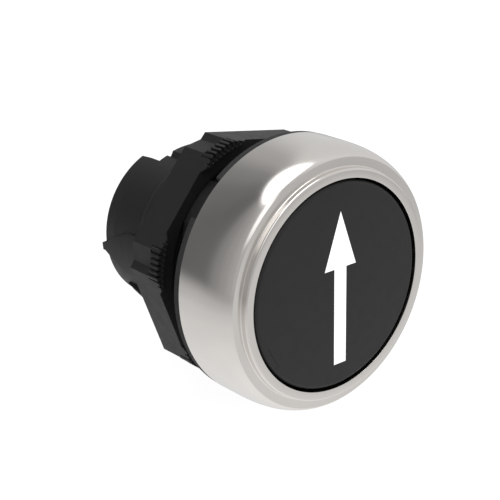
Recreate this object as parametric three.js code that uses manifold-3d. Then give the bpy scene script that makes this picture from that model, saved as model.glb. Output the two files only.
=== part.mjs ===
// Flush push button head for a 22 mm panel hole.
// Millimetres. The button's axis is Y: the cap faces -Y and the body runs back along +Y.
// The arrow points to +Z.
// The origin is on the axis, on the gasket's panel face, which is where the front panel sits.
// A profile is a closed list of [radius, y] points, and its radius is measured from the Y axis.

import * as THREE from 'three';
import { mergeVertices } from 'three/addons/utils/BufferGeometryUtils.js';
import Module from 'manifold-3d';

const wasm = await Module();
wasm.setup();

// ---- driving dimensions: y is along the axis, angles are in degrees from +X towards +Z ------------------

const ROUND_SIDES = 48;
const INNER_SIDES = 36;

const gasket = {
  thickness: 0.85,
  outerR: 14.85,
  innerR: 11.2,
  notchR: 13.0,
  notchFrom: 126.5,
  notchTo: 145.5,
};

const bezel = {
  depth: 8.3,
  boreR: 11.77,
  edgeBreak: 0.12,
  lipR: 12.6,
  shoulderR: 13.0,
  shoulderDrop: 0.76,
  shoulderEdgeR: 13.87,
  flankLength: 5.12,
  flankFlare: 2.8,
  flankRound: 0.74,
  rearR: 14.9,
  recessR: 13.5,
  recessDepth: 6.05,
};

const lockRing = { innerR: 13.0, outerR: 13.9, from: -3.6, thickness: 0.8, play: 0.1 };
const bezelSeal = { centreR: 12.7, wireR: 0.4 };

const cap = {
  radius: 11.5,
  skirtDepth: 2.9,
  skirtWall: 1.0,
  wall: 1.5,
  edgeRound: 0.35,
  pegR: 1.9,
  pegRear: -4.1,
};
const snapRing = { play: 0.15, from: -5.1, thickness: 0.5 };

const arrow = {
  centreX: 0.28,
  tipZ: 8.33,
  barbX: 2.24,
  barbZ: 2.04,
  shaftX: 0.87,
  footZ: -9.0,
  depth: 0.6,
  gap: 0.3,
};

const nut = {
  padFront: 3.5,
  front: 4.1,
  discRear: 5.05,
  toothRear: 5.15,
  rear: 8.35,
  halfFlats: 13.11,
  turn: 20.14,
  cornerR: 14.38,
  flatHalfAngle: 24,
  valleyAngle: 32.6,
  valleyR: 13.72,
  boreR: 11.0,
  rearBoreR: 11.5,
  mouthR: 11.95,
  mouthRear: 4.8,
  padInnerR: 13.57,
  padEndAngle: 15.6,
  padTopAngle: 18.2,
  toothPitch: 2.47,
  toothGap: 0.26,
  toothFrontR: 13.66,
  toothRootR: 14.1,
};

const thread = { crestR: 10.9, rootR: 10.3, pitch: 1.5, rise: 0.55, turns: 6, from: 0.5 };
const barrelKey = { radius: 11.88, fromAngle: 122, toAngle: 152, from: 0.3, to: 4.05 };

const body = {
  collarR: 13.4,
  collarBoreR: 11.95,
  collarFront: -6.0,
  wellFloor: -2.0,
  frontBoreR: 8.8,
  keywayR: 9.5,
  keywayHalf: 0.9,
  keywayRear: 4.6,
  shelfFront: 7.6,
  shelfRear: 9.0,
  shelfBoreR: 5.2,
  socketR: 8.7,
  shoulderR: 10.1,
  shoulderFront: 10.0,
  shoulderRear: 12.6,
  skirtFront: 13.5,
  skirtR: 9.7,
  rimR: 9.51,
  rimDepth: 1.8,
  rear: 19.9,
  embed: 0.3,
};

const topKey = { halfAngle: 13.7, footHalfAngle: 20, radius: 10.22, from: 9.8, to: 15.8 };
const rimSlot = { halfAngle: 23.5, from: 16.5, deepHalfAngle: 16.5, deepFrom: 15.9 };
const sideLug = {
  angle: 185,
  radius: 10.1,
  from: 12.4,
  rootHalf: 2.64,
  rootRear: 15.15,
  waistHalf: 1.5,
  waistRear: 17.9,
  tipHalf: 0.45,
  tipRear: 19.5,
};
const lowRib = { angle: 217.2, halfWidth: 0.75, radius: 10.5, tipR: 9.9, from: 9.4, ramp: 14.4, to: 17.6 };

const plunger = {
  headR: 8.2,
  headDepth: 1.5,
  boreR: 2.05,
  snapR: 3.1,
  snapFrom: -5.2,
  snapTo: -4.4,
  stemR: 4.2,
  flangeR: 8.6,
  flangeFront: -1.2,
  flangeRear: -0.2,
  keyR: 9.3,
  keyHalf: 0.75,
  grooveR: 3.6,
  rear: 10.7,
};

const stopRing = { innerR: 3.65, outerR: 5.5, from: 9.05, thickness: 0.6, openHalfAngle: 28 };
const foot = {
  spigotR: 1.95,
  flangeR: 4.2,
  flangeDepth: 0.6,
  tipR: 3.2,
  tipRound: 0.4,
  front: 6.0,
  rear: 12.6,
};
const bush = { innerR: 4.3, outerR: 5.15 };
const spring = { meanR: 6.4, wireR: 0.35, turns: 3.5 };
const springSeat = { innerR: 5.4, outerR: 7.4, thickness: 0.5 };
const diaphragm = {
  thickness: 0.5,
  collarR: 4.3,
  collarLength: 1.2,
  innerFoldR: 6.1,
  outerFoldR: 8.6,
  foldShift: 0.1,
  outerR: 10.3,
};
const clamp = { innerR: 9.2, outerR: 10.2, thickness: 0.7 };
const TOUCH = 0.02;
const OVERCUT = 1;

// ---- colours --------------------------------------------------------------------------------------------

const CHROME = { color: 0xb9b5ae, roughness: 0.28, metalness: 1.0 };
const CAP_BLACK = { color: 0x1b1b1c, roughness: 0.45, metalness: 0.0 };
const ARROW_WHITE = { color: 0xf2f2ef, roughness: 0.5, metalness: 0.0 };
const BODY_BLACK = { color: 0x161617, roughness: 0.6, metalness: 0.0 };
const NUT_BLACK = { color: 0x18181a, roughness: 0.62, metalness: 0.0 };
const RUBBER_GREY = { color: 0x2a2a2b, roughness: 0.85, metalness: 0.0 };
const NYLON_GREY = { color: 0x5a5c5e, roughness: 0.6, metalness: 0.0 };
const SPRING_STEEL = { color: 0x9a9da0, roughness: 0.35, metalness: 1.0 };

// ---- helpers --------------------------------------------------------------------------------------------

const radians = (degrees) => (degrees * Math.PI) / 180;

function polar(radius, degrees) {
  return new THREE.Vector2(radius * Math.cos(radians(degrees)), radius * Math.sin(radians(degrees)));
}

function evenly(steps, from, to) {
  return Array.from({ length: steps + 1 }, (_, i) => from + ((to - from) * i) / steps);
}

function welded(geometry) {
  geometry.deleteAttribute('normal');
  geometry.deleteAttribute('uv');
  return mergeVertices(geometry, 1e-4);
}

function toSolid(geometry) {
  const vertProperties = new Float32Array(geometry.attributes.position.array);
  const triVerts = new Uint32Array(geometry.index.array);
  return new wasm.Manifold(new wasm.Mesh({ numProp: 3, vertProperties, triVerts }));
}

function toGeometry(solid) {
  const mesh = solid.getMesh();
  const geometry = new THREE.BufferGeometry();
  geometry.setAttribute('position', new THREE.BufferAttribute(new Float32Array(mesh.vertProperties), 3));
  geometry.setIndex(new THREE.BufferAttribute(new Uint32Array(mesh.triVerts), 1));
  return geometry;
}

// The first geometry with the others joined on or cut away.
function joined(base, others) {
  return toGeometry(others.reduce((solid, other) => solid.add(toSolid(other)), toSolid(base)));
}

function cutBy(base, others) {
  return toGeometry(others.reduce((solid, other) => solid.subtract(toSolid(other)), toSolid(base)));
}

function common(first, second) {
  return toGeometry(toSolid(first).intersect(toSolid(second)));
}

// A closed profile turned about the Y axis. A profile with both ends on the axis is left open there.
function turned(profile, sides = ROUND_SIDES) {
  const points = profile.map(([radius, y]) => new THREE.Vector2(radius, y));
  if (THREE.ShapeUtils.isClockWise(points)) {
    points.reverse();
  }
  const onAxis = points[0].x === 0 && points[points.length - 1].x === 0;
  if (!onAxis) {
    points.push(points[0].clone());
  }
  return welded(new THREE.LatheGeometry(points, sides));
}

function ring(innerR, outerR, from, to, sides = ROUND_SIDES) {
  return turned([[innerR, from], [outerR, from], [outerR, to], [innerR, to]], sides);
}

// An outline in X and Z, extruded along Y between two places.
function prism(shape, from, to) {
  const geometry = new THREE.ExtrudeGeometry(shape, { depth: to - from, bevelEnabled: false });
  geometry.rotateX(Math.PI / 2);
  geometry.translate(0, to, 0);
  return welded(geometry);
}

// A sector of a ring, seen along Y, between two radii and two angles.
function sector(innerR, outerR, fromAngle, toAngle, steps = 8) {
  const outer = evenly(steps, fromAngle, toAngle).map((angle) => polar(outerR, angle));
  const inner = evenly(steps, toAngle, fromAngle).map((angle) => polar(innerR, angle));
  return new THREE.Shape([...outer, ...inner]);
}

// An outline in radius and Y, given a width across and set at an angle about the axis.
function radialPlate(profile, halfWidth, angle) {
  const shape = new THREE.Shape(profile.map(([radius, y]) => new THREE.Vector2(radius, y)));
  const geometry = new THREE.ExtrudeGeometry(shape, { depth: 2 * halfWidth, bevelEnabled: false });
  geometry.translate(0, 0, -halfWidth);
  geometry.rotateY(-radians(angle));
  return welded(geometry);
}

// An outline in width and Y, extruded outwards along the radius and set at an angle about the axis.
function radialBlock(points, innerR, outerR, angle) {
  const shape = new THREE.Shape(points.map(([across, y]) => new THREE.Vector2(across, y)));
  const geometry = new THREE.ExtrudeGeometry(shape, { depth: outerR - innerR, bevelEnabled: false });
  geometry.translate(0, 0, innerR);
  geometry.rotateY(-radians(angle - 90));
  return welded(geometry);
}

function circleProfile(centreR, centreY, radius, steps) {
  return evenly(steps, 0, 360).slice(0, -1).map((angle) => {
    const point = polar(radius, angle);
    return [centreR + point.x, centreY + point.y];
  });
}

const assembly = new THREE.Group();

function addNode(name, geometry, look, y = 0) {
  const mesh = new THREE.Mesh(geometry, new THREE.MeshStandardMaterial(look));
  mesh.name = name;
  mesh.position.y = y;
  assembly.add(mesh);
}

// ---- bezel, its seal and the ring that locks it on ------------------------------------------------------

const bezelRear = -gasket.thickness;
const lipY = bezelRear - bezel.depth;
const headFront = lipY + cap.wall + TOUCH;
const headRear = headFront + plunger.headDepth;

// The bezel's own y runs from its lip at 0 to its rear edge.
function makeBezel() {
  const flank = evenly(7, 0, 1).map((step) => {
    const along = step * step;
    const swell = (1 - (1 - along) ** bezel.flankFlare) ** bezel.flankRound;
    const radius = bezel.shoulderEdgeR + (bezel.rearR - bezel.shoulderEdgeR) * swell;
    return [radius, bezel.shoulderDrop + bezel.flankLength * along];
  });
  const recessFront = bezel.depth - bezel.recessDepth;
  const grooveFront = lockRing.from - lockRing.play - lipY;
  const grooveRear = grooveFront + lockRing.thickness + 2 * lockRing.play;
  const grooveR = lockRing.outerR + lockRing.play;
  return turned([
    [bezel.boreR, bezel.edgeBreak],
    [bezel.boreR + bezel.edgeBreak, 0],
    [bezel.lipR - bezel.edgeBreak, 0],
    [bezel.lipR, bezel.edgeBreak],
    [bezel.shoulderR - bezel.edgeBreak, bezel.shoulderDrop - bezel.edgeBreak],
    [bezel.shoulderR, bezel.shoulderDrop],
    ...flank,
    [bezel.rearR, bezel.depth],
    [bezel.recessR, bezel.depth],
    [bezel.recessR, grooveRear],
    [grooveR, grooveRear],
    [grooveR, grooveFront],
    [bezel.recessR, grooveFront],
    [bezel.recessR, recessFront],
    [bezel.boreR, recessFront],
  ]);
}

function addBezelGroup() {
  const sealY = (bezelRear - bezel.recessDepth + body.collarFront) / 2;
  const lockShape = sector(lockRing.innerR, lockRing.outerR, 8, 352, 60);
  addNode('bezel_ring', makeBezel(), CHROME, lipY);
  const seal = turned(circleProfile(bezelSeal.centreR, 0, bezelSeal.wireR, 8), INNER_SIDES);
  addNode('bezel_seal', seal, RUBBER_GREY, sealY);
  addNode('bezel_lock_ring', prism(lockShape, 0, lockRing.thickness), SPRING_STEEL, lockRing.from);
}

// ---- cap and arrow --------------------------------------------------------------------------------------

// The arrow's outline, grown on every side by the amount given.
function arrowShape(grow) {
  const headHeight = arrow.tipZ - arrow.barbZ;
  const headEdge = Math.hypot(headHeight, arrow.barbX);
  const tipZ = arrow.tipZ + (grow * headEdge) / arrow.barbX;
  const footZ = arrow.footZ - grow;
  const barbZ = arrow.barbZ - grow;
  const barbX = arrow.barbX + (grow * (headEdge + arrow.barbX)) / headHeight;
  const shaftX = arrow.shaftX + grow;
  const right = [[barbX, barbZ], [shaftX, barbZ], [shaftX, footZ]];
  const left = right.map(([x, z]) => [-x, z]).reverse();
  const outline = [[0, tipZ], ...right, ...left];
  return new THREE.Shape(outline.map(([x, z]) => new THREE.Vector2(arrow.centreX + x, z)));
}

// The cap's own y runs from its face at 0.
function makeCap() {
  const edge = evenly(4, -90, 0).map((angle) => {
    const point = polar(cap.edgeRound, angle);
    return [cap.radius - cap.edgeRound + point.x, cap.edgeRound + point.y];
  });
  const skirtBoreR = cap.radius - cap.skirtWall;
  const pegRear = cap.pegRear - lipY;
  const shell = turned([
    [0, 0],
    ...edge,
    [cap.radius, cap.skirtDepth],
    [skirtBoreR, cap.skirtDepth],
    [skirtBoreR, cap.wall],
    [cap.pegR, cap.wall],
    [cap.pegR, pegRear],
    [0, pegRear],
  ]);
  return cutBy(shell, [prism(arrowShape(arrow.gap), -OVERCUT, arrow.depth + arrow.gap)]);
}

function addCapGroup() {
  const snap = ring(cap.pegR + TOUCH, plunger.snapR - snapRing.play, 0, snapRing.thickness, INNER_SIDES);
  addNode('button_cap', makeCap(), CAP_BLACK, lipY);
  addNode('arrow_symbol', prism(arrowShape(0), 0, arrow.depth), ARROW_WHITE, lipY);
  addNode('cap_snap_ring', snap, SPRING_STEEL, snapRing.from);
}

// ---- plunger and what rides on it -----------------------------------------------------------------------

function makePlunger() {
  const grooveFrom = stopRing.from - TOUCH;
  const grooveTo = stopRing.from + stopRing.thickness + TOUCH;
  const core = turned([
    [plunger.boreR, headFront],
    [plunger.headR, headFront],
    [plunger.headR, headRear],
    [plunger.stemR, headRear],
    [plunger.stemR, plunger.flangeFront],
    [plunger.flangeR, plunger.flangeFront],
    [plunger.flangeR, plunger.flangeRear],
    [plunger.stemR, plunger.flangeRear],
    [plunger.stemR, grooveFrom],
    [plunger.grooveR, grooveFrom],
    [plunger.grooveR, grooveTo],
    [plunger.stemR, grooveTo],
    [plunger.stemR, plunger.rear],
    [plunger.boreR, plunger.rear],
    [plunger.boreR, plunger.snapTo],
    [plunger.snapR, plunger.snapTo],
    [plunger.snapR, plunger.snapFrom],
    [plunger.boreR, plunger.snapFrom],
  ], INNER_SIDES);
  const keyProfile = [
    [plunger.stemR, plunger.flangeFront],
    [plunger.keyR, plunger.flangeFront],
    [plunger.keyR, plunger.flangeRear],
    [plunger.stemR, plunger.flangeRear],
  ];
  return joined(core, [0, 180].map((angle) => radialPlate(keyProfile, plunger.keyHalf, angle)));
}

// The push rod end: a spigot in the plunger's bore and a rounded foot behind it.
function makeFoot() {
  const flangeFront = plunger.rear + TOUCH;
  return turned([
    [0, foot.front],
    [foot.spigotR, foot.front],
    [foot.spigotR, flangeFront],
    [foot.flangeR, flangeFront],
    [foot.flangeR, flangeFront + foot.flangeDepth],
    [foot.tipR, foot.rear - foot.tipRound],
    [foot.tipR - foot.tipRound, foot.rear],
    [0, foot.rear],
  ], INNER_SIDES);
}

function addPlungerGroup() {
  const stopShape = sector(
    stopRing.innerR, stopRing.outerR, 90 + stopRing.openHalfAngle, 450 - stopRing.openHalfAngle, 32,
  );
  addNode('plunger', makePlunger(), NYLON_GREY);
  addNode('plunger_foot', makeFoot(), NYLON_GREY);
  addNode('plunger_stop_ring', prism(stopShape, 0, stopRing.thickness), SPRING_STEEL, stopRing.from);
}

// ---- return spring and its seats ------------------------------------------------------------------------

class Helix extends THREE.Curve {
  constructor(radius, length, turns) {
    super();
    Object.assign(this, { radius, length, turns });
  }

  getPoint(t, target = new THREE.Vector3()) {
    const angle = 2 * Math.PI * this.turns * t;
    return target.set(this.radius * Math.cos(angle), this.length * t, this.radius * Math.sin(angle));
  }
}

function makeSpring(length) {
  const wire = new THREE.Shape(evenly(6, 0, 360).slice(0, -1).map((angle) => polar(spring.wireR, angle)));
  const path = new Helix(spring.meanR, length, spring.turns);
  const steps = Math.round(spring.turns * 16);
  return welded(new THREE.ExtrudeGeometry(wire, { extrudePath: path, steps, bevelEnabled: false }));
}

function addSpringGroup() {
  const seat = () => ring(springSeat.innerR, springSeat.outerR, 0, springSeat.thickness, INNER_SIDES);
  const frontSeatY = plunger.flangeRear + TOUCH;
  const rearSeatY = body.shelfFront - springSeat.thickness - TOUCH;
  const wireFront = frontSeatY + springSeat.thickness + spring.wireR + 2 * TOUCH;
  const wireRear = rearSeatY - spring.wireR - 2 * TOUCH;
  addNode('front_spring_seat', seat(), SPRING_STEEL, frontSeatY);
  addNode('rear_spring_seat', seat(), SPRING_STEEL, rearSeatY);
  addNode('return_spring', makeSpring(wireRear - wireFront), SPRING_STEEL, wireFront);
}

// ---- diaphragm ------------------------------------------------------------------------------------------

function addDiaphragmGroup() {
  const wall = diaphragm.thickness;
  const floor = body.wellFloor - TOUCH;
  const rimFront = floor - wall;
  const collarFront = headRear + TOUCH;
  const collarRear = collarFront + diaphragm.collarLength;
  const membrane = turned([
    [diaphragm.collarR, collarFront],
    [diaphragm.collarR + wall, collarFront],
    [diaphragm.collarR + wall, collarRear - wall],
    [diaphragm.innerFoldR + diaphragm.foldShift, collarRear - wall],
    [diaphragm.outerFoldR + diaphragm.foldShift, rimFront],
    [diaphragm.outerR, rimFront],
    [diaphragm.outerR, floor],
    [diaphragm.outerFoldR - diaphragm.foldShift, floor],
    [diaphragm.innerFoldR - diaphragm.foldShift, collarRear],
    [diaphragm.collarR, collarRear],
  ], INNER_SIDES);
  const clampRear = rimFront - TOUCH;
  const clampRing = ring(clamp.innerR, clamp.outerR, clampRear - clamp.thickness, clampRear, INNER_SIDES);
  addNode('sealing_diaphragm', membrane, RUBBER_GREY);
  addNode('diaphragm_clamp', clampRing, NYLON_GREY);
}

// ---- housing --------------------------------------------------------------------------------------------

function threadProfile() {
  return Array.from({ length: thread.turns }, (_, turn) => {
    const start = thread.from + turn * thread.pitch;
    return [
      [thread.crestR, start],
      [thread.rootR, start + thread.rise],
      [thread.crestR, start + 2 * thread.rise],
    ];
  }).flat();
}

function housingCore() {
  const lockGroove = [lockRing.from - lockRing.play, lockRing.from + lockRing.thickness + lockRing.play];
  const lockR = lockRing.innerR - lockRing.play;
  const threadEnd = thread.from + thread.turns * thread.pitch;
  return turned([
    [body.collarBoreR, body.collarFront],
    [body.collarR, body.collarFront],
    [body.collarR, lockGroove[0]],
    [lockR, lockGroove[0]],
    [lockR, lockGroove[1]],
    [body.collarR, lockGroove[1]],
    [body.collarR, bezelRear],
    [thread.crestR, bezelRear],
    ...threadProfile(),
    [thread.crestR, threadEnd],
    [body.shoulderR, body.shoulderFront],
    [body.shoulderR, body.shoulderRear],
    [body.skirtR, body.skirtFront],
    [body.skirtR, body.rear - body.rimDepth],
    [body.rimR, body.rear],
    [body.socketR, body.rear],
    [body.socketR, body.shelfRear],
    [body.shelfBoreR, body.shelfRear],
    [body.shelfBoreR, body.shelfFront],
    [body.frontBoreR, body.shelfFront],
    [body.frontBoreR, body.wellFloor],
    [body.collarBoreR, body.wellFloor],
  ]);
}

// A bayonet lug that widens forwards from a blunt tip at the rim.
function makeSideLug(angle) {
  const halfOutline = [
    [sideLug.tipHalf, body.rear],
    [sideLug.tipHalf, sideLug.tipRear],
    [sideLug.waistHalf, sideLug.waistRear],
    [sideLug.rootHalf, sideLug.rootRear],
    [sideLug.rootHalf, sideLug.from],
  ];
  const mirrored = halfOutline.map(([across, y]) => [-across, y]).reverse();
  const block = radialBlock([...halfOutline, ...mirrored], body.socketR, sideLug.radius + OVERCUT, angle);
  return common(block, ring(body.rimR - body.embed, sideLug.radius, sideLug.from, body.rear));
}

function makeLowRib(angle) {
  const profile = [
    [body.rimR - body.embed, lowRib.from],
    [lowRib.radius, lowRib.from],
    [lowRib.radius, lowRib.ramp],
    [lowRib.tipR, lowRib.to],
    [body.rimR - body.embed, lowRib.to],
  ];
  return radialPlate(profile, lowRib.halfWidth, angle);
}

function makeHousing() {
  const keyTop = evenly(8, 90 - topKey.halfAngle, 90 + topKey.halfAngle);
  const keyFoot = evenly(8, 90 + topKey.footHalfAngle, 90 - topKey.footHalfAngle);
  const keyOutline = [
    ...keyTop.map((angle) => polar(topKey.radius, angle)),
    ...keyFoot.map((angle) => polar(body.rimR - body.embed, angle)),
  ];
  const slotInnerR = body.socketR - OVERCUT;
  const clearR = body.skirtR + OVERCUT;
  const slotShape = sector(slotInnerR, clearR, 90 - rimSlot.halfAngle, 90 + rimSlot.halfAngle);
  const deepShape = sector(slotInnerR, clearR, 90 - rimSlot.deepHalfAngle, 90 + rimSlot.deepHalfAngle);
  const keyInnerR = thread.rootR - body.embed;
  const barrelKeyShape = sector(keyInnerR, barrelKey.radius, barrelKey.fromAngle, barrelKey.toAngle);
  const mirrorAngle = (angle) => 180 - angle;
  const additions = [
    prism(new THREE.Shape(keyOutline), topKey.from, topKey.to),
    prism(barrelKeyShape, barrelKey.from, barrelKey.to),
    makeSideLug(sideLug.angle),
    makeSideLug(mirrorAngle(sideLug.angle)),
    makeLowRib(lowRib.angle),
    makeLowRib(mirrorAngle(lowRib.angle)),
  ];
  const keywayInnerR = body.frontBoreR - OVERCUT;
  const keywayFront = body.wellFloor - OVERCUT;
  const keywayProfile = [
    [keywayInnerR, keywayFront],
    [body.keywayR, keywayFront],
    [body.keywayR, body.keywayRear],
    [keywayInnerR, body.keywayRear],
  ];
  const cuts = [
    prism(slotShape, rimSlot.from, body.rear + OVERCUT),
    prism(deepShape, rimSlot.deepFrom, rimSlot.from + OVERCUT),
    ...[0, 180].map((angle) => radialPlate(keywayProfile, body.keywayHalf, angle)),
  ];
  return cutBy(joined(housingCore(), additions), cuts);
}

function addHousingGroup() {
  const bushRing = ring(bush.innerR, bush.outerR, body.shelfFront, body.shelfRear, INNER_SIDES);
  addNode('housing', makeHousing(), BODY_BLACK);
  addNode('stem_bush', bushRing, NYLON_GREY);
}

// ---- gasket ---------------------------------------------------------------------------------------------

function makeGasket() {
  const long = evenly(60, gasket.notchTo, 360 + gasket.notchFrom).map((angle) => polar(gasket.outerR, angle));
  const notch = evenly(4, gasket.notchFrom, gasket.notchTo).map((angle) => polar(gasket.notchR, angle));
  const shape = new THREE.Shape([...long, ...notch]);
  const inner = evenly(ROUND_SIDES, 0, 360).slice(0, -1).map((angle) => polar(gasket.innerR, angle));
  shape.holes.push(new THREE.Path(inner));
  return prism(shape, bezelRear, 0);
}

// ---- lock nut -------------------------------------------------------------------------------------------

const flatAngles = evenly(6, 0, 360).slice(0, -1).map((angle) => nut.turn + angle);

// The hexagon with its six corners turned round.
function nutDiscOutline() {
  const cornerAngles = (flat) => evenly(4, flat + nut.flatHalfAngle, flat + 60 - nut.flatHalfAngle);
  return new THREE.Shape(flatAngles.flatMap(cornerAngles).map((angle) => polar(nut.cornerR, angle)));
}

// Behind the disc each corner falls in a long valley, away from every second flat.
function nutValleyOutline() {
  return new THREE.Shape(flatAngles.flatMap((flat, index) => {
    const valley = index % 2 === 0 ? flat + nut.valleyAngle : flat + 60 - nut.valleyAngle;
    return [
      polar(nut.cornerR, flat - nut.flatHalfAngle),
      polar(nut.cornerR, flat + nut.flatHalfAngle),
      polar(nut.valleyR, valley),
    ];
  }));
}

// The bore, its mouth and its rear chamfer.
function nutBore() {
  return turned([
    [0, nut.padFront - OVERCUT],
    [nut.mouthR, nut.padFront - OVERCUT],
    [nut.mouthR, nut.mouthRear],
    [nut.boreR, nut.mouthRear],
    [nut.boreR, nut.rear - (nut.rearBoreR - nut.boreR)],
    [nut.rearBoreR, nut.rear],
    [nut.rearBoreR, nut.rear + OVERCUT],
    [0, nut.rear + OVERCUT],
  ]);
}

// The room in front of a flat, with sloping ends that leave a raised pad at each corner.
function nutWindow(flat) {
  const floorHalf = nut.halfFlats * Math.tan(radians(nut.padEndAngle));
  const topHalf = nut.halfFlats * Math.tan(radians(nut.padTopAngle));
  const slope = (topHalf - floorHalf) / (nut.front - nut.padFront);
  const openHalf = topHalf + slope * OVERCUT;
  const openFront = nut.padFront - OVERCUT;
  const open = [[-openHalf, openFront], [openHalf, openFront]];
  const floor = [[floorHalf, nut.front], [-floorHalf, nut.front]];
  return radialBlock([...open, ...floor], nut.boreR, nut.cornerR + OVERCUT, flat);
}

// Grooves between the teeth of one corner: they slope in across the pad and run back along the disc.
function nutToothGaps(corner) {
  const outerR = nut.cornerR + OVERCUT;
  const profile = [
    [nut.toothFrontR, nut.padFront],
    [nut.toothRootR, nut.front],
    [nut.toothRootR, nut.toothRear],
    [outerR, nut.toothRear],
    [outerR, nut.padFront - OVERCUT],
    [nut.toothFrontR, nut.padFront - OVERCUT],
  ];
  const half = nut.toothGap / 2;
  return evenly(8, -4, 4).map((tooth) => radialPlate(profile, half, corner + tooth * nut.toothPitch));
}

function makeNut() {
  const disc = prism(nutDiscOutline(), nut.padFront, nut.discRear);
  const hexagon = joined(disc, [prism(nutValleyOutline(), nut.mouthRear, nut.rear)]);
  const padRoom = ring(nut.boreR, nut.padInnerR, nut.padFront - OVERCUT, nut.front);
  const toothGaps = flatAngles.flatMap((flat) => nutToothGaps(flat + 30));
  return cutBy(hexagon, [nutBore(), padRoom, ...flatAngles.map(nutWindow), ...toothGaps]);
}

// ---- the assembly ---------------------------------------------------------------------------------------

addBezelGroup();
addCapGroup();
addPlungerGroup();
addSpringGroup();
addDiaphragmGroup();
addHousingGroup();
addNode('panel_gasket', makeGasket(), RUBBER_GREY);
addNode('lock_nut', makeNut(), NUT_BLACK);

export default assembly;
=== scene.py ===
"""The looks of a flush push button head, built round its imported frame.

The button's axis is Y: the cap faces -Y and the arrow points to +Z. Shapes are worked out in millimetres,
with angles in degrees from +X towards +Z, and every mesh is written in metres.
"""

import math

import bmesh
import bpy
from mathutils import Matrix, Vector


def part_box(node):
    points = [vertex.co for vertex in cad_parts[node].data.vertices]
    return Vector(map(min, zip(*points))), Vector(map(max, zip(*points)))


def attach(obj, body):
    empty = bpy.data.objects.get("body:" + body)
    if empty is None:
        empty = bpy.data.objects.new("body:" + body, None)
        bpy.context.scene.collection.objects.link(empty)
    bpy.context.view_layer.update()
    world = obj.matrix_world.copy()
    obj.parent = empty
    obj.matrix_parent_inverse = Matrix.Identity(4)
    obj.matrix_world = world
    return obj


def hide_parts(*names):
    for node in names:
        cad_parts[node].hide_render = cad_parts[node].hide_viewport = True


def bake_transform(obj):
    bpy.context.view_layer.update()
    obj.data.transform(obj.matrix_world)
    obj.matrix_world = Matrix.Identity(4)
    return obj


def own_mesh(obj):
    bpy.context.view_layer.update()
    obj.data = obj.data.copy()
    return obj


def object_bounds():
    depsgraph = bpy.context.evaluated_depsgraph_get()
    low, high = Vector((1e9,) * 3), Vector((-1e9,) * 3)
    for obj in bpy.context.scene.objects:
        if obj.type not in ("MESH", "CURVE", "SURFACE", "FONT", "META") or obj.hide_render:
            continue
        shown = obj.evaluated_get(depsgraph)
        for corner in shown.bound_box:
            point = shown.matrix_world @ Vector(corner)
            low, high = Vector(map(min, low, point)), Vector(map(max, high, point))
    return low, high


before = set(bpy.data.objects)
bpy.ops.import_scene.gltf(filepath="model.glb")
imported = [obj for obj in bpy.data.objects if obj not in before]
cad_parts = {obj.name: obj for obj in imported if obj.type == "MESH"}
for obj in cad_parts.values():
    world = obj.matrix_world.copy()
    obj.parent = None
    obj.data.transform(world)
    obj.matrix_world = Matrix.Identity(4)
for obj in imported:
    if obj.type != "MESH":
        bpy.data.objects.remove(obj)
cad_low, cad_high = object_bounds()

MM = 0.001


def node_ends(name):
    """The lowest and highest y of a CAD node, in millimetres."""
    low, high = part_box(name)
    return low[1] / MM, high[1] / MM


LIP_Y, BEZEL_REAR_Y = node_ends("bezel_ring")
GASKET_REAR_Y = node_ends("panel_gasket")[1]
CAP_FACE_Y = node_ends("button_cap")[0]
NUT_FRONT_Y, NUT_REAR_Y = node_ends("lock_nut")
BODY_REAR_Y = node_ends("housing")[1]
FLOOR_Z = cad_low.z / MM - 0.25

# how far a cutter runs past the face it cuts through
PAST = 1.0


# ---- camera ------------------------------------------------------------------------------------------


def make_camera():
    """A long lens looking down on the button from its left, very slightly rolled."""
    azimuth, elevation, roll = math.radians(-39.98), math.radians(21.15), math.radians(-1.08)
    back = Vector((
        math.sin(azimuth) * math.cos(elevation),
        -math.cos(azimuth) * math.cos(elevation),
        math.sin(elevation),
    ))
    right = Vector((math.cos(azimuth), math.sin(azimuth), 0))
    up = back.cross(right)
    distance, aside, above = 143.65, -9.26, 4.05
    place = Vector((0, LIP_Y, 0)) + back * distance + right * aside + up * above
    camera_x = right * math.cos(roll) + up * math.sin(roll)
    camera_y = up * math.cos(roll) - right * math.sin(roll)
    data = bpy.data.cameras.new("camera")
    data.sensor_width = 36
    data.lens = 98.17
    data.clip_start, data.clip_end = 0.01, 20
    camera = bpy.data.objects.new("camera", data)
    turn = Matrix((camera_x, camera_y, back)).transposed()
    camera.matrix_world = Matrix.Translation(place * MM) @ turn.to_4x4()
    bpy.context.collection.objects.link(camera)
    bpy.context.scene.camera = camera


make_camera()


# ---- outlines ----------------------------------------------------------------------------------------


def polar(radius, degrees):
    """The (x, z) point at a radius and an angle about the axis."""
    angle = math.radians(degrees)
    return radius * math.cos(angle), radius * math.sin(angle)


def evenly(steps, start, end):
    """The values that cut a range into equal steps, both ends included."""
    return [start + (end - start) * i / steps for i in range(steps + 1)]


def arc(radius, start, end, steps=16):
    """The (x, z) points along an arc between two angles, both ends included."""
    return [polar(radius, angle) for angle in evenly(steps, start, end)]


def sector(inner, outer, start, end, steps=16):
    """An (x, z) outline between two radii and two angles."""
    return arc(outer, start, end, steps) + arc(inner, end, start, steps)


def mirrored(half):
    """An outline from its right half, whose points run from one end to the other."""
    return half + [(-across, along) for across, along in reversed(half)]


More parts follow.
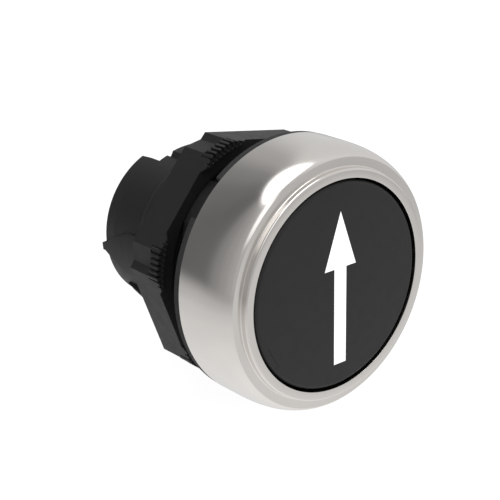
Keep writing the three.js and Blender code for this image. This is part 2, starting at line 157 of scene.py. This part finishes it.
def rounded(corners, steps=5):
    """A closed outline with its corners rounded. Each corner is (u, v) or (u, v, radius)."""
    points = []
    count = len(corners)
    for i, corner in enumerate(corners):
        here = Vector(corner[:2])
        radius = corner[2] if len(corner) > 2 else 0
        before = (Vector(corners[i - 1][:2]) - here).normalized()
        after = (Vector(corners[(i + 1) % count][:2]) - here).normalized()
        turn = before.angle(after)
        if radius == 0 or turn > math.pi - 0.01:
            points.append(tuple(here))
            continue
        reach = radius / math.tan(turn / 2)
        centre = here + (before + after).normalized() * (radius / math.sin(turn / 2))
        start = here + before * reach - centre
        sweep = start.angle_signed(here + after * reach - centre)
        for step in evenly(steps, 0, 1):
            angle = -sweep * step
            cos, sin = math.cos(angle), math.sin(angle)
            arm = Vector((start.x * cos - start.y * sin, start.x * sin + start.y * cos))
            points.append(tuple(centre + arm))
    return points


# ---- meshes ------------------------------------------------------------------------------------------


def face_outwards(mesh):
    """Turns every face of a closed body to face out, which cuts and joins rely on."""
    body = bmesh.new()
    body.from_mesh(mesh)
    bmesh.ops.recalc_face_normals(body, faces=body.faces)
    body.to_mesh(mesh)
    body.free()


def shade(piece, smooth_angle=30):
    """Smooth shading, except across edges sharper than an angle."""
    mesh = piece.data
    mesh.polygons.foreach_set("use_smooth", [True] * len(mesh.polygons))
    mesh.set_sharp_from_angle(angle=math.radians(smooth_angle))
    mesh.update()


def make_object(name, vertices, faces, smooth_angle=30):
    """A mesh object from points in millimetres."""
    mesh = bpy.data.meshes.new(name)
    mesh.from_pydata([Vector(v) * MM for v in vertices], [], faces)
    mesh.validate()
    face_outwards(mesh)
    made = bpy.data.objects.new(name, mesh)
    bpy.context.collection.objects.link(made)
    shade(made, smooth_angle)
    return made


def clockwise(outline):
    """The points of an outline in clockwise order, so a cut doesn't depend on how it was written."""
    points = list(outline)
    area = sum(a[0] * b[1] - b[0] * a[1] for a, b in zip(points, points[1:] + points[:1]))
    return points[::-1] if area > 0 else points


def rows_of(size, count):
    """The numbers of the vertices in each row, for a count of rows of one size."""
    return [list(range(start, start + size)) for start in range(0, size * count, size)]


def walls(rows):
    """The faces between each closed row of vertices and the next. At a pole they are triangles."""
    faces = []
    for first, second in zip(rows, rows[1:]):
        for i in range(len(first)):
            j = (i + 1) % len(first)
            corners = list(dict.fromkeys((first[i], first[j], second[j], second[i])))
            if len(corners) > 2:
                faces.append(corners)
    return faces


def lathe(name, profile, sides=192, smooth_angle=30):
    """A closed (radius, y) profile turned about the Y axis. Points on the axis become poles."""
    vertices, rows = [], []
    for radius, y in clockwise(profile):
        around = sides if radius > 0 else 1
        start = len(vertices)
        vertices += [(x, y, z) for x, z in arc(radius, 0, 360, around)[:-1]]
        rows.append([start + i % around for i in range(sides)])
    return make_object(name, vertices, walls(rows + rows[:1]), smooth_angle)


def prism(name, outline, start, end):
    """An (x, z) outline extruded along Y between two places."""
    points = clockwise(outline)
    near, far = rows_of(len(points), 2)
    vertices = [(x, y, z) for y in (start, end) for x, z in points]
    return make_object(name, vertices, [near[::-1], far, *walls([near, far])])


def turned_point(radius, across, y, degrees):
    """A point out along the radius at an angle about the axis, then across the radius."""
    cos, sin = polar(1, degrees)
    return radius * cos - across * sin, y, radius * sin + across * cos


def turned_prism(name, points, degrees):
    """A body between two equal rings of (radius, across, y) points, at an angle about the axis."""
    near, far = rows_of(len(points) // 2, 2)
    vertices = [turned_point(*point, degrees) for point in points]
    return make_object(name, vertices, [near, far[::-1], *walls([far, near])])


def radial_prism(name, outline, inner, outer, degrees):
    """An (across, y) outline extruded along the radius at an angle about the axis."""
    flat = clockwise(outline)
    return turned_prism(name, [(radius, *point) for radius in (inner, outer) for point in flat], degrees)


def tangent_plate(name, profile, half_width, degrees):
    """A (radius, y) outline given a width across the radius, at an angle about the axis."""
    flat = clockwise(profile)
    sides = (-half_width, half_width)
    return turned_prism(name, [(radius, across, y) for across in sides for radius, y in flat], degrees)


def apply_modifiers(piece):
    """Puts the result of a piece's modifiers in place of its mesh."""
    graph = bpy.context.evaluated_depsgraph_get()
    graph.update()
    mesh = bpy.data.meshes.new_from_object(
        piece.evaluated_get(graph), preserve_all_data_layers=True, depsgraph=graph,
    )
    piece.modifiers.clear()
    piece.data = mesh
    mesh.name = piece.name


def combine(piece, other, operation):
    """Joins (UNION), cuts (DIFFERENCE) or intersects (INTERSECT) with another piece, which is used up."""
    step = piece.modifiers.new("combine", "BOOLEAN")
    step.operation = operation
    step.solver = "MANIFOLD"
    step.object = other
    apply_modifiers(piece)
    bpy.data.objects.remove(other)


def soften(piece, width):
    """Small rounded edges, as a moulded or machined part has."""
    step = piece.modifiers.new("soften", "BEVEL")
    step.width = width * MM
    step.segments = 2
    step.limit_method = "ANGLE"
    step.angle_limit = math.radians(35)
    step.use_clamp_overlap = True
    step.miter_outer = "MITER_ARC"
    apply_modifiers(piece)
    shade(piece)


def even_normals(piece):
    """Keeps large flat faces flat where they meet small rounded ones."""
    step = piece.modifiers.new("normals", "WEIGHTED_NORMAL")
    step.keep_sharp = True
    step.weight = 90
    apply_modifiers(piece)


# ---- materials ---------------------------------------------------------------------------------------


class Tree:
    """Shorthand for building a node tree."""

    def __init__(self, tree):
        self.tree = tree

    def add(self, kind, **settings):
        node = self.tree.nodes.new(kind)
        for key, value in settings.items():
            setattr(node, key, value)
        return node

    def feed(self, node, inputs):
        """Sets each input of a node to a value, or links it to another node's output."""
        for socket, value in inputs.items():
            if isinstance(value, bpy.types.NodeSocket):
                self.tree.links.new(value, node.inputs[socket])
            else:
                node.inputs[socket].default_value = value

    def mix(self, factor, first, second):
        node = self.add("ShaderNodeMix", data_type="RGBA")
        self.feed(node, {"Factor": factor, "A": first, "B": second})
        return node.outputs["Result"]


class Look(Tree):
    """One material, whose patterns stay put on the piece."""

    def __init__(self, name):
        self.material = bpy.data.materials.new(name)
        self.material.use_nodes = True
        super().__init__(self.material.node_tree)
        self.shader = self.tree.nodes["Principled BSDF"]
        self.place = self.add("ShaderNodeTexCoord").outputs["Object"]

    def noise(self, scale, detail, stretch=None):
        place = self.place
        if stretch:
            mapping = self.add("ShaderNodeMapping")
            self.feed(mapping, {"Vector": place, "Scale": stretch})
            place = mapping.outputs["Vector"]
        node = self.add("ShaderNodeTexNoise")
        self.feed(node, {"Vector": place, "Scale": scale, "Detail": detail})
        return node.outputs["Fac"]

    def spread(self, value, low, high):
        """Stretches the middle half of a noise value into a range."""
        node = self.add("ShaderNodeMapRange")
        self.feed(node, {"Value": value, "From Min": 0.25, "From Max": 0.75, "To Min": low, "To Max": high})
        return node.outputs["Result"]

    def finish(self, pattern, first, second, gloss, height, strength, distance):
        """Colour between two tones by a pattern, gloss by another, and fine relief by a third."""
        bump = self.add("ShaderNodeBump")
        self.feed(bump, {"Height": height, "Strength": strength, "Distance": distance})
        colour = self.mix(pattern, (*first, 1), (*second, 1))
        self.feed(self.shader, {"Base Color": colour, "Roughness": gloss, "Normal": bump.outputs["Normal"]})
        return self.material


def moulded_plastic(name, colour, roughness, grain=0.3, painted_glow=0.0):
    """Matt moulded plastic: a fine spark-eroded grain, faint flow marks and uneven gloss. A painted glow, if
    given, is an even emission that brightens it as no lamp does.
    """
    look = Look(name)
    flow = look.spread(look.noise(220, 4), 0, 1)
    gloss = look.spread(look.noise(900, 2), roughness - 0.04, roughness + 0.05)
    # painted light: an even white emission of the given strength, zero for plain plastic
    look.feed(look.shader, {"Emission Color": (1, 1, 1, 1), "Emission Strength": painted_glow})
    lighter = [channel * 1.18 for channel in colour]
    return look.finish(flow, colour, lighter, gloss, look.noise(9000, 2), grain, 0.00002)


def satin_chrome():
    """Satin pearl chrome: a bright warm metal with a soft, very fine grain."""
    look = Look("satin_chrome")
    look.feed(look.shader, {"Metallic": 1.0})
    cloud = look.spread(look.noise(300, 3), 0, 1)
    gloss = look.spread(look.noise(7000, 3), 0.13, 0.17)
    dim, bright = (0.8, 0.77, 0.738), (0.825, 0.795, 0.763)
    return look.finish(cloud, dim, bright, gloss, look.noise(14000, 2), 0.08, 0.00001)


def drawn_steel(name, colour, roughness):
    """Drawn spring steel: long fine scratches along the part."""
    look = Look(name)
    look.feed(look.shader, {"Metallic": 1.0})
    scratch = look.spread(look.noise(2500, 2, stretch=(1, 12, 1)), 0, 1)
    gloss = look.spread(scratch, roughness, roughness + 0.12)
    darker = [channel * 0.8 for channel in colour]
    return look.finish(scratch, darker, colour, gloss, scratch, 0.15, 0.00001)


def rubber(name, colour):
    """Moulded rubber: dull, slightly dusty."""
    look = Look(name)
    dust = look.spread(look.noise(600, 5), 0, 1)
    gloss = look.spread(look.noise(1500, 2), 0.72, 0.86)
    dusty = [channel * 1.35 + 0.004 for channel in colour]
    return look.finish(dust, colour, dusty, gloss, look.noise(6000, 3), 0.35, 0.00003)


CHROME = satin_chrome()
CAP_BLACK = moulded_plastic("cap_black", (0.0125, 0.0122, 0.0122), 0.5, grain=0.22)
# the white arrow has a painted glow: an emission that makes it brighter than the lamps light it
ARROW_WHITE_PAINTED_GLOW = moulded_plastic("arrow_white", (0.84, 0.84, 0.835), 0.5, grain=0.15, painted_glow=0.6)
BODY_BLACK = moulded_plastic("body_black", (0.0125, 0.0125, 0.013), 0.55, grain=0.35)
NUT_BLACK = moulded_plastic("nut_black", (0.013, 0.013, 0.0135), 0.55, grain=0.35)
NYLON = moulded_plastic("nylon_grey", (0.22, 0.23, 0.24), 0.55)
GASKET_RUBBER = rubber("gasket_rubber", (0.022, 0.022, 0.023))
STEEL = drawn_steel("spring_steel", (0.62, 0.63, 0.65), 0.28)


def dress(piece, material, node):
    """Gives a piece its material, and has it stand for a CAD node."""
    piece.data.materials.clear()
    piece.data.materials.append(material)
    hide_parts(node)


def finish_piece(piece, material, body, node):
    """Dresses a piece that moves with one body."""
    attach(piece, body)
    dress(piece, material, node)


# ---- bezel -------------------------------------------------------------------------------------------


def flank_points(start_r, start_y, end_r, length):
    """The bezel's convex flank, from the shoulder's edge to the straight rear. It swells fast, then eases."""
    points = []
    for step in evenly(28, 0.2, 1):
        along = step * step
        swell = (1 - (1 - along) ** 2.8) ** 0.74
        points.append((start_r + (end_r - start_r) * swell, start_y + length * along))
    return points


def make_bezel():
    """The chrome ring: a rounded lip, a small shoulder and a convex flank. It is open behind."""
    lip_r, shoulder_r, edge_r, rear_r = 12.79, 12.82, 13.87, 14.9
    bore_r, recess_r = 11.77, 13.5
    shoulder_y, recess_y, rear_y = 0.76, 2.3, BEZEL_REAR_Y - LIP_Y
    corners = [
        (bore_r + 0.01, 0, 0.04),
        (lip_r, 0, 0.24),
        (shoulder_r, shoulder_y, 0.14),
        (edge_r, shoulder_y, 0.09),
        *flank_points(edge_r, shoulder_y, rear_r - 0.005, 5.12),
        (rear_r, rear_y, 0.1),
        (recess_r, rear_y),
        (recess_r, recess_y),
        (bore_r, recess_y),
    ]
    profile = [(radius, LIP_Y + y) for radius, y in rounded(corners, 8)]
    finish_piece(lathe("bezel", profile, 320, 25), CHROME, "base", "bezel_ring")


# ---- cap and arrow -----------------------------------------------------------------------------------


def make_cap():
    """A shallow cup. A fine line in its face marks the edge of a moulded tab."""
    face, skirt_r, inner_r, wall_depth = CAP_FACE_Y + 0.02, 11.5, 10.5, 1.5
    rear = face + 2.88
    corners = [
        (0, face),
        (skirt_r, face, 0.45),
        (skirt_r, rear, 0.1),
        (inner_r, rear, 0.1),
        (inner_r, face + wall_depth),
        (0, face + wall_depth),
    ]
    piece = lathe("cap", rounded(corners, 8), 256)
    line_start, line_end, line_inner, line_outer, leg_outer, half_width = 202, 217, 10.65, 10.7, 11.3, 0.025
    front, floor = face - PAST, face + 0.03
    line = sector(line_inner, line_outer, line_start, line_end, 12)
    combine(piece, prism("tab_arc", line, front, floor), "DIFFERENCE")
    leg = [(-half_width, front), (half_width, front), (half_width, floor), (-half_width, floor)]
    combine(piece, radial_prism("tab_leg", leg, line_inner, leg_outer, line_end), "DIFFERENCE")
    shade(piece)
    finish_piece(piece, CAP_BLACK, "button", "button_cap")


def make_arrow():
    """A generic up arrow, set flush into the cap a little right of its middle."""
    centre_x, tip_z, barb_x, barb_z, shaft_x, foot_z = 0.26, 8.36, 2.24, 2.09, 0.86, -8.96
    half = [(barb_x, barb_z), (shaft_x, barb_z), (shaft_x, foot_z)]
    outline = [(centre_x + x, z) for x, z in [(0, tip_z), *mirrored(half)]]
    piece = prism("arrow", outline, CAP_FACE_Y, CAP_FACE_Y + 0.6)
    finish_piece(piece, ARROW_WHITE_PAINTED_GLOW, "button", "arrow_symbol")


# ---- gasket ------------------------------------------------------------------------------------------


def make_gasket():
    """The flat rubber ring behind the bezel, with a notch in its rim."""
    inner_r, outer_r, notch_r, outside_r = 11.2, 14.85, 13.0, 16.0
    corners = [
        (inner_r, BEZEL_REAR_Y),
        (outer_r, BEZEL_REAR_Y, 0.08),
        (outer_r, GASKET_REAR_Y, 0.12),
        (inner_r, GASKET_REAR_Y, 0.12),
    ]
    piece = lathe("gasket", rounded(corners))
    notch = sector(notch_r, outside_r, 126.5, 145.5, 6)
    combine(piece, prism("notch", notch, BEZEL_REAR_Y - PAST, GASKET_REAR_Y + PAST), "DIFFERENCE")
    shade(piece)
    finish_piece(piece, GASKET_RUBBER, "base", "panel_gasket")


# ---- lock nut ----------------------------------------------------------------------------------------

# the angle of each flat's middle
FLATS = [20.14 + 60 * i for i in range(6)]
# how far after it the rounded corner starts and ends
CORNER_START, CORNER_END = 24, 36
NUT_CORNER_R = 14.38
NUT_FLAT_R = 13.11
PAD_HEIGHT = 0.6
NUT_FACE_Y = NUT_FRONT_Y + PAD_HEIGHT
DISC_REAR_Y = NUT_FRONT_Y + 1.55
TOOTH_PITCH = 2.47


def corner_ends(flat):
    """The angles at which the rounded corner after a flat starts and ends."""
    return flat + CORNER_START, flat + CORNER_END


def corner_valley(index, flat):
    """The valley cut in a corner behind the disc. It leans away from every second flat."""
    start, end = corner_ends(flat)
    near, far = Vector(polar(NUT_CORNER_R, start)), Vector(polar(NUT_CORNER_R, end))
    low = Vector(polar(13.9, flat + (32.8 if index % 2 == 0 else 27.2)))
    outside_r = 17
    outline = [low, 2 * near - low, polar(outside_r, start), polar(outside_r, end), 2 * far - low]
    return prism("valley", [tuple(point) for point in outline], DISC_REAR_Y, NUT_REAR_Y + PAST)


def nut_window(flat):
    """The room in front of a flat. Its sloping ends leave a raised pad at each corner."""
    floor, top = (NUT_FLAT_R * math.tan(math.radians(angle)) for angle in (15.6, 18.2))
    wide = top + (top - floor) * PAST / PAD_HEIGHT
    outline = mirrored([(wide, NUT_FRONT_Y - PAST), (floor, NUT_FACE_Y)])
    return radial_prism("window", outline, 11, 16, flat)


def tooth_gap(angle):
    """A groove between two teeth: narrow across the pad, then a shallow V along the disc."""
    height, vertices = 1.2, []
    for radius, y, lean, floor_half, top_half in (
        (13.5, NUT_FRONT_Y - 0.1, height, 0.09, 0.13),
        (14.08, NUT_FACE_Y, height, 0.06, 0.5),
        (14.14, DISC_REAR_Y + 0.1, 0, 0.03, 0.95),
    ):
        for across in (-floor_half, floor_half):
            vertices.append(turned_point(radius, across, y, angle))
        for across in (top_half, -top_half):
            vertices.append(turned_point(radius + height, across, y - lean, angle))
    rows = rows_of(4, 3)
    return make_object("gap", vertices, [*walls(rows), rows[0], rows[-1][::-1]])


def make_nut():
    """A toothed disc with a pad at each corner, on a hexagon with a valley in each corner."""
    front, rear, pad_r = NUT_FRONT_Y, NUT_REAR_Y, 13.57
    outline = [point for flat in FLATS for point in arc(NUT_CORNER_R, *corner_ends(flat), 8)]
    piece = prism("nut", outline, front, rear)
    for index, flat in enumerate(FLATS):
        combine(piece, corner_valley(index, flat), "DIFFERENCE")
        combine(piece, nut_window(flat), "DIFFERENCE")
    step = [(5, front - PAST), (pad_r, front - PAST), (pad_r, NUT_FACE_Y), (5, NUT_FACE_Y)]
    combine(piece, lathe("step", step), "DIFFERENCE")
    mouth_r, bore_r, rear_r, mouth = 11.92, 11.0, 11.5, front + 1.3
    bore = [
        (0, front - PAST), (mouth_r, front - PAST), (mouth_r, mouth), (bore_r, mouth),
        (bore_r, rear - 0.5), (rear_r, rear), (rear_r, rear + PAST), (0, rear + PAST),
    ]
    combine(piece, lathe("bore", bore), "DIFFERENCE")
    soften(piece, 0.05)
    for flat in FLATS:
        for tooth in range(-4, 5):
            combine(piece, tooth_gap(flat + 30 + tooth * TOOTH_PITCH), "DIFFERENCE")
    shade(piece, 20)
    even_normals(piece)
    finish_piece(piece, NUT_BLACK, "nut", "lock_nut")


# ---- housing -----------------------------------------------------------------------------------------

SKIRT_R = 9.7
# the key, the lugs and the ribs start inside the skirt, at this radius
ROOT_R = 9.2
SHOULDER_R = 10.1
SHOULDER_Y = 9.0
NECK_R = 10.35


def side_lug(angle):
    """A bayonet lug: blunt at the rim, swelling forwards into the shoulder."""
    outline = mirrored([
        (across, BODY_REAR_Y - back) for across, back in (
            (0.45, 0), (0.46, 0.4), (0.98, 1.2), (1.47, 2.0), (1.92, 2.9),
            (2.33, 3.9), (2.61, 4.75), (2.64, 5.9), (2.64, 7.5),
        )
    ])
    block = radial_prism("lug", outline, 7, 12, angle)
    front, rear = BODY_REAR_Y - 9, BODY_REAR_Y
    shell = [(ROOT_R, front), (SHOULDER_R, front), (SHOULDER_R, rear), (ROOT_R, rear)]
    combine(block, lathe("lug_shell", shell), "INTERSECT")
    return block


def low_rib(angle):
    """A straight rib low on the skirt, which slopes down to it at the rear."""
    front, ramp, rear, high_r, tip_r = 9.4, 14.4, 17.6, 10.5, 9.9
    profile = [(ROOT_R, front), (high_r, front), (high_r, ramp), (tip_r, rear), (ROOT_R, rear)]
    return tangent_plate("rib", profile, 0.75, angle)


def barrel():
    """Front collar, threaded barrel's core, shoulder and rear skirt, hollow but for a shelf."""
    collar_front, collar_r, well_r, well_floor = -6.0, 13.4, 11.95, -2.0
    shelf_front, shelf_r, guide_r, socket_r = 7.6, 5.2, 8.8, 8.7
    corners = [
        (well_r, collar_front), (collar_r, collar_front), (collar_r, BEZEL_REAR_Y), (NECK_R, BEZEL_REAR_Y),
        (NECK_R, 9.6), (SHOULDER_R, 10.0), (SHOULDER_R, 12.6), (SKIRT_R, 13.5), (SKIRT_R, BODY_REAR_Y - 1.8),
        (9.51, BODY_REAR_Y), (socket_r, BODY_REAR_Y), (socket_r, SHOULDER_Y), (shelf_r, SHOULDER_Y),
        (shelf_r, shelf_front), (guide_r, shelf_front), (guide_r, well_floor), (well_r, well_floor),
    ]
    return lathe("body", corners)


def make_housing():
    """The barrel with its keys, lugs, ribs and rear slot."""
    piece = barrel()
    top_key = arc(ROOT_R, 110, 70, 8) + arc(10.22, 76.3, 103.7, 8)
    combine(piece, prism("top_key", top_key, SHOULDER_Y, 15.8), "UNION")
    barrel_key = [*arc(11.88, 122, 148), polar(11.3, 158), *arc(10.0, 148, 122)]
    combine(piece, prism("barrel_key", barrel_key, 0.3, 4.05), "UNION")
    for angle in (185, -5):
        combine(piece, side_lug(angle), "UNION")
    for angle in (217.2, -37.2):
        combine(piece, low_rib(angle), "UNION")
    slot = sector(7.5, 11, 66.5, 113.5)
    combine(piece, prism("slot", slot, 16.5, BODY_REAR_Y + PAST), "DIFFERENCE")
    combine(piece, prism("slot_middle", sector(7.5, 11, 73.5, 106.5), 15.9, 17), "DIFFERENCE")
    soften(piece, 0.06)
    shade(piece, 5)
    even_normals(piece)
    finish_piece(piece, BODY_BLACK, "base", "housing")


# ---- thread ------------------------------------------------------------------------------------------

THREAD_START_Y = BEZEL_REAR_Y + 0.3
THREAD_END_Y = 9.6


def thread_radius(y, turn):
    """The barrel's radius at a place and part of a turn, with narrow flats at crest and root.

    The thread fades out at both ends.
    """
    crest, root, pitch, fade_length = 10.9, 10.3, 1.5, 0.6
    fade = min(1, (y - THREAD_START_Y) / fade_length, (THREAD_END_Y - y) / fade_length)
    wave = abs(2 * ((y / pitch - turn) % 1) - 1)
    depth = min(max((wave - 0.12) / 0.72, 0), 1)
    return root + (crest - root) * (1 - depth) * fade


def make_thread():
    """The barrel's thread: one long groove wound round a sleeve."""
    columns, steps, sleeve_r = 144, 176, 10.0
    turns = [column / columns for column in range(columns)]
    vertices = [(x, THREAD_START_Y, z) for x, z in (polar(sleeve_r, 360 * turn) for turn in turns)]
    for y in evenly(steps, THREAD_START_Y, THREAD_END_Y):
        vertices += [(x, y, z) for x, z in (polar(thread_radius(y, turn), 360 * turn) for turn in turns)]
    vertices += [(x, THREAD_END_Y, z) for x, z in (polar(sleeve_r, 360 * turn) for turn in turns)]
    rows = rows_of(columns, steps + 3)
    piece = make_object("thread", vertices, walls(rows + rows[:1]), 60)
    finish_piece(piece, BODY_BLACK, "base", "housing")


# ---- return spring -----------------------------------------------------------------------------------


def make_spring():
    """A round wire wound round the plunger."""
    turns, steps, sides, mean_r, wire_r, travel = 3.5, 180, 12, 6.4, 0.34, 4.0
    low, high = node_ends("return_spring")
    start, end = low + 0.37, high - 0.37
    vertices = []
    for along in evenly(steps, 0, 1):
        y = start + (end - start) * along
        for out, up in arc(wire_r, 0, 360, sides)[:-1]:
            x, z = polar(mean_r + out, 360 * turns * along)
            vertices.append((x, y + up, z))
    rows = rows_of(sides, steps + 1)
    piece = make_object("spring", vertices, [*walls(rows), rows[0], rows[-1]], 60)
    finish_piece(piece, STEEL, "base", "return_spring")
    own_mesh(piece)


# ---- diaphragm ---------------------------------------------------------------------------------------


def make_diaphragm():
    """The rubber cone between plunger and barrel, with a collar at the front and a rim at the rear."""
    front, rear = node_ends("sealing_diaphragm")
    thickness, collar_length = 0.5, 1.2
    collar_rear = front + collar_length
    rim_front, fold_front = rear - thickness, collar_rear - thickness
    corners = [
        (4.3, front, 0.08), (4.8, front, 0.08), (4.8, fold_front, 0.15), (6.2, fold_front, 0.25),
        (8.7, rim_front, 0.2), (10.3, rim_front, 0.08), (10.3, rear, 0.08), (8.5, rear, 0.25),
        (6.0, collar_rear, 0.2), (4.3, collar_rear, 0.08),
    ]
    piece = lathe("diaphragm", rounded(corners, 4), 128)
    dress(piece, GASKET_RUBBER, "sealing_diaphragm")
    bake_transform(piece)


make_bezel()
make_cap()
make_arrow()
make_gasket()
make_nut()
make_housing()
make_thread()
make_spring()
make_diaphragm()

NODE_LOOKS = {
    "bezel_seal": GASKET_RUBBER,
    "bezel_lock_ring": STEEL,
    "cap_snap_ring": STEEL,
    "plunger": NYLON,
    "plunger_foot": NYLON,
    "plunger_stop_ring": STEEL,
    "front_spring_seat": STEEL,
    "rear_spring_seat": STEEL,
    "diaphragm_clamp": NYLON,
    "stem_bush": NYLON,
}
for node_name, look in NODE_LOOKS.items():
    node_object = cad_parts[node_name]
    node_object.data.materials.clear()
    node_object.data.materials.append(look)


# ---- floor and light ---------------------------------------------------------------------------------

# each stop is (place, level): places 0..1 go once round the room, from behind by the left to the front
# and on by the right
WALL_LEVELS = [
    (0.0, 0.24), (0.05, 0.17), (0.1, 0.14), (0.125, 0.15), (0.167, 0.27), (0.21, 0.34), (0.27, 0.41),
    (0.36, 0.48), (0.5, 0.5), (0.56, 0.56), (0.62, 0.7), (0.7, 0.74), (0.87, 0.68), (0.93, 0.42),
    (1.0, 0.24),
]
# here places 0..1 go from straight down to straight up
BELOW_LEVELS = [(0.0, 0.92), (0.1, 0.84), (0.23, 0.74), (0.305, 0.66), (0.371, 0.53), (0.42, 0.4)]
# how much of the light from below and of each softbox shows, by height, and by place round the room
BELOW_HEIGHT = [(0.4, 1.0), (0.47, 0.0)]
SIDE_BOX_HEIGHT = [(0.7, 0.0), (0.775, 0.7), (0.86, 1.0)]
TOP_BOX_HEIGHT = [(0.95, 0.0), (0.97, 1.0)]
SIDE_BOX_WIDTH = [(0.295, 0.0), (0.33, 0.7), (0.36, 1.0), (0.44, 1.0), (0.475, 0.0)]
SIDE_BOX_LIGHT = 1.35
TOP_BOX_LIGHT = 2.6


def grey(level):
    """A neutral colour, as a socket takes it."""
    return level, level, level, 1


def make_floor():
    """A pale floor that lights nothing itself: the room's light comes from the world."""
    size = 3000
    corners = [(x, y, FLOOR_Z) for x, y in ((-size, -size), (size, -size), (size, size), (-size, size))]
    floor = make_object("floor", corners, [[0, 1, 2, 3]])
    look = Look("floor_white")
    look.feed(look.shader, {
        "Base Color": grey(0.12), "Roughness": 0.9, "Specular IOR Level": 0,
        "Emission Color": grey(1), "Emission Strength": 0.97,
    })
    floor.data.materials.append(look.material)
    floor.visible_glossy = False
    floor.visible_diffuse = False


class Room(Tree):
    """The world, whose light is a function of direction."""

    def maths(self, operation, first, second):
        node = self.add("ShaderNodeMath", operation=operation)
        self.feed(node, {0: first, 1: second})
        return node.outputs["Value"]

    def ramp(self, value, stops):
        node = self.add("ShaderNodeValToRGB")
        node.color_ramp.interpolation = "EASE"
        elements = node.color_ramp.elements
        while len(elements) < len(stops):
            elements.new(0.5)
        for element, (place, level) in zip(elements, stops):
            element.position = place
            element.color = grey(level)
        self.feed(node, {"Fac": value})
        return node.outputs["Color"]

    def direction(self):
        """How far round the room, and how far up it, a direction points, each from 0 to 1."""
        split = self.add("ShaderNodeSeparateXYZ")
        self.feed(split, {"Vector": self.add("ShaderNodeTexCoord").outputs["Generated"]})
        x, y, z = (split.outputs[axis] for axis in "XYZ")
        turn = self.maths("ARCTAN2", x, self.maths("MULTIPLY", y, -1))
        around = self.maths("ADD", self.maths("DIVIDE", turn, 2 * math.pi), 0.5)
        return around, self.maths("ADD", self.maths("MULTIPLY", z, 0.5), 0.5)

    def light(self):
        """Light from below, walls that pale to the right, and softboxes front left and overhead."""
        around, height = self.direction()
        beside, below = self.ramp(around, WALL_LEVELS), self.ramp(height, BELOW_LEVELS)
        room = self.mix(self.ramp(height, BELOW_HEIGHT), beside, below)
        side_box = self.maths(
            "MULTIPLY", self.ramp(around, SIDE_BOX_WIDTH), self.ramp(height, SIDE_BOX_HEIGHT),
        )
        room = self.mix(side_box, room, grey(SIDE_BOX_LIGHT))
        return self.mix(self.ramp(height, TOP_BOX_HEIGHT), room, grey(TOP_BOX_LIGHT))


def make_world():
    """The room lights the button, while its backdrop is plain white."""
    world = bpy.data.worlds.new("studio")
    bpy.context.scene.world = world
    world.use_nodes = True
    world.node_tree.nodes.clear()
    room = Room(world.node_tree)
    lit, backdrop = room.add("ShaderNodeBackground"), room.add("ShaderNodeBackground")
    room.feed(lit, {"Color": room.light()})
    room.feed(backdrop, {"Color": grey(1)})
    choose = room.add("ShaderNodeMixShader")
    seen = room.add("ShaderNodeLightPath").outputs["Is Camera Ray"]
    room.feed(choose, {"Fac": seen, 1: lit.outputs["Background"], 2: backdrop.outputs["Background"]})
    room.feed(room.add("ShaderNodeOutputWorld"), {"Surface": choose.outputs["Shader"]})


make_floor()
make_world()
bpy.context.scene.view_settings.view_transform = "Standard"
bpy.context.scene.view_settings.look = "None"
